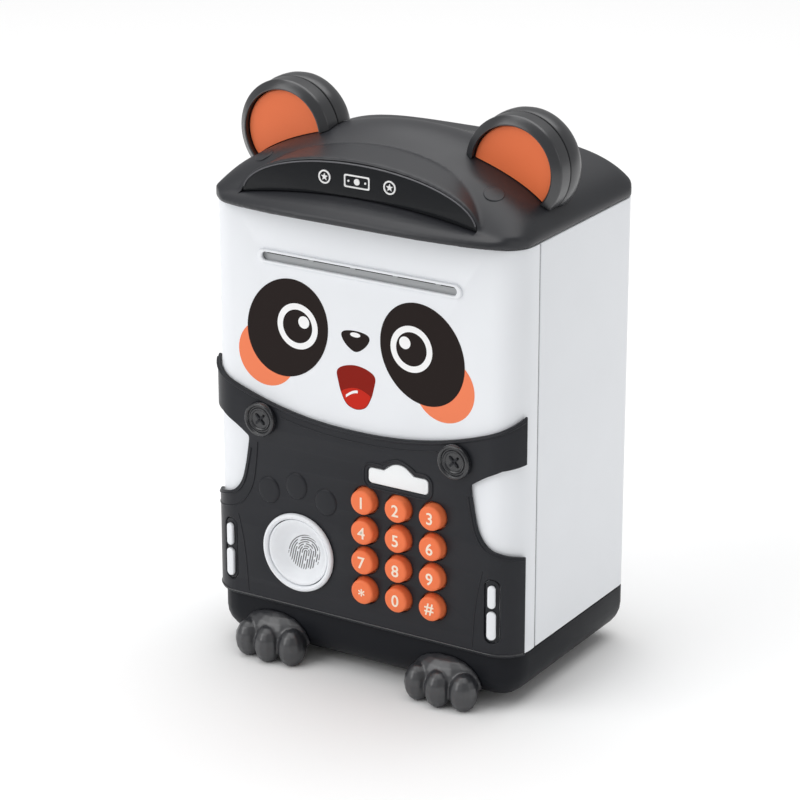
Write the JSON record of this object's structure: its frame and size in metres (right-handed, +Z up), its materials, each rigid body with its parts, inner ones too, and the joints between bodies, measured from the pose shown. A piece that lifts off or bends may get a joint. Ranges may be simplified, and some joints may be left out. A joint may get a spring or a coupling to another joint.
{
  "type": "toy cash-machine money box",
  "caption": "Panda-shaped toy cash-machine money box with a hinged keypad door, motor note feed, lock bolt, ears and paws.",
  "frame": {"origin": "middle of the bounding box on the surface the money box stands on", "axes": "+Z up, -Y the front with the keypad door, +X to the viewer's right of the front, where the door hinge is"},
  "size_m": [0.1452, 0.1068, 0.2316],
  "materials": {
    "white_plastic": "smooth, slightly glossy moulding",
    "charcoal_plastic": "fine satin texture",
    "gloss_charcoal_plastic": "polished moulding",
    "orange_plastic": "satin",
    "grey_plastic": "satin",
    "black_rubber": "matte",
    "bright_steel": "bright zinc plate",
    "circuit_board": "solder mask",
    "milky_lens": "milky translucent",
    "battery_case": "printed sleeve"
  },
  "bodies": {
    "root": {"body_shell": "white_plastic", "jamb_frame": "white_plastic", "latch_strike": "bright_steel", "base_shell": "charcoal_plastic", "base_deck": "grey_plastic", "battery_cover": "charcoal_plastic", "battery_cover_screw": "bright_steel", "battery_1": "battery_case", "battery_2": "battery_case", "battery_3": "battery_case", "paw_left": "gloss_charcoal_plastic", "paw_right": "gloss_charcoal_plastic", "rear_foot_left": "black_rubber", "rear_foot_right": "black_rubber", "roof_shell": "charcoal_plastic", "sign_plate": "gloss_charcoal_plastic", "coin_slot_insert": "gloss_charcoal_plastic", "roof_plug_left": "charcoal_plastic", "roof_plug_right": "charcoal_plastic", "ear_front_left": "gloss_charcoal_plastic", "ear_front_right": "gloss_charcoal_plastic", "ear_inlay_left": "orange_plastic", "ear_inlay_right": "orange_plastic", "ear_back_left": "gloss_charcoal_plastic", "ear_back_right": "gloss_charcoal_plastic", "hinge_pin_top": "bright_steel", "hinge_pin_bottom": "bright_steel"},
    "door": {"door_panel": "white_plastic", "suit_panel": "charcoal_plastic", "note_slot_bezel": "white_plastic", "door_inner_cover": "white_plastic", "belt_button_left": "charcoal_plastic", "belt_button_right": "charcoal_plastic", "cloud_lens": "milky_lens", "pocket_trim_left": "white_plastic", "pocket_trim_right": "white_plastic", "fingerprint_bezel": "white_plastic", "keypad_membrane": "black_rubber", "control_board": "circuit_board", "speaker": "grey_plastic", "feed_motor": "bright_steel", "lock_solenoid": "grey_plastic", "cover_screw_1": "bright_steel", "cover_screw_2": "bright_steel"},
    "key_1": {"key_1": "orange_plastic"},
    "key_2": {"key_2": "orange_plastic"},
    "key_3": {"key_3": "orange_plastic"},
    "key_4": {"key_4": "orange_plastic"},
    "key_5": {"key_5": "orange_plastic"},
    "key_6": {"key_6": "orange_plastic"},
    "key_7": {"key_7": "orange_plastic"},
    "key_8": {"key_8": "orange_plastic"},
    "key_9": {"key_9": "orange_plastic"},
    "key_star": {"key_star": "orange_plastic"},
    "key_0": {"key_0": "orange_plastic"},
    "key_hash": {"key_hash": "orange_plastic"},
    "finger_button": {"fingerprint_pad": "white_plastic"},
    "lock": {"lock_bolt": "bright_steel"},
    "roller": {"feed_roller": "black_rubber"},
    "pinion": {"motor_pinion": "grey_plastic"}
  },
  "joints": [
    {"name": "door_hinge", "type": "hinge", "parent": "root", "child": "door", "pos_m": [0.0648, -0.0334, 0.10525], "axis": [0, 0, 1], "range_deg": [0, 110]},
    {"name": "press_1", "type": "slide", "parent": "door", "child": "key_1", "axis": [0, 1, 0], "range_m": [0, 0.0012], "stiffness_N_per_m": 350},
    {"name": "press_2", "type": "slide", "parent": "door", "child": "key_2", "axis": [0, 1, 0], "range_m": [0, 0.0012], "stiffness_N_per_m": 350},
    {"name": "press_3", "type": "slide", "parent": "door", "child": "key_3", "axis": [0, 1, 0], "range_m": [0, 0.0012], "stiffness_N_per_m": 350},
    {"name": "press_4", "type": "slide", "parent": "door", "child": "key_4", "axis": [0, 1, 0], "range_m": [0, 0.0012], "stiffness_N_per_m": 350},
    {"name": "press_5", "type": "slide", "parent": "door", "child": "key_5", "axis": [0, 1, 0], "range_m": [0, 0.0012], "stiffness_N_per_m": 350},
    {"name": "press_6", "type": "slide", "parent": "door", "child": "key_6", "axis": [0, 1, 0], "range_m": [0, 0.0012], "stiffness_N_per_m": 350},
    {"name": "press_7", "type": "slide", "parent": "door", "child": "key_7", "axis": [0, 1, 0], "range_m": [0, 0.0012], "stiffness_N_per_m": 350},
    {"name": "press_8", "type": "slide", "parent": "door", "child": "key_8", "axis": [0, 1, 0], "range_m": [0, 0.0012], "stiffness_N_per_m": 350},
    {"name": "press_9", "type": "slide", "parent": "door", "child": "key_9", "axis": [0, 1, 0], "range_m": [0, 0.0012], "stiffness_N_per_m": 350},
    {"name": "press_star", "type": "slide", "parent": "door", "child": "key_star", "axis": [0, 1, 0], "range_m": [0, 0.0012], "stiffness_N_per_m": 350},
    {"name": "press_0", "type": "slide", "parent": "door", "child": "key_0", "axis": [0, 1, 0], "range_m": [0, 0.0012], "stiffness_N_per_m": 350},
    {"name": "press_hash", "type": "slide", "parent": "door", "child": "key_hash", "axis": [0, 1, 0], "range_m": [0, 0.0012], "stiffness_N_per_m": 350},
    {"name": "press_finger", "type": "slide", "parent": "door", "child": "finger_button", "axis": [0, 1, 0], "range_m": [0, 0.0012], "stiffness_N_per_m": 400},
    {"name": "bolt_slide", "type": "slide", "parent": "door", "child": "lock", "axis": [-1, 0, 0], "range_m": [0, 0.008]},
    {"name": "roller_spin", "type": "hinge", "parent": "door", "child": "roller", "pos_m": [0, -0.0235, 0.1612], "axis": [1, 0, 0], "continuous": true},
    {"name": "pinion_spin", "type": "hinge", "parent": "door", "child": "pinion", "pos_m": [0, -0.0235, 0.1459], "axis": [1, 0, 0], "continuous": true}
  ],
  "couplings": [
    {"joint": "pinion_spin", "follows": "roller_spin", "ratio": -2}
  ]
}
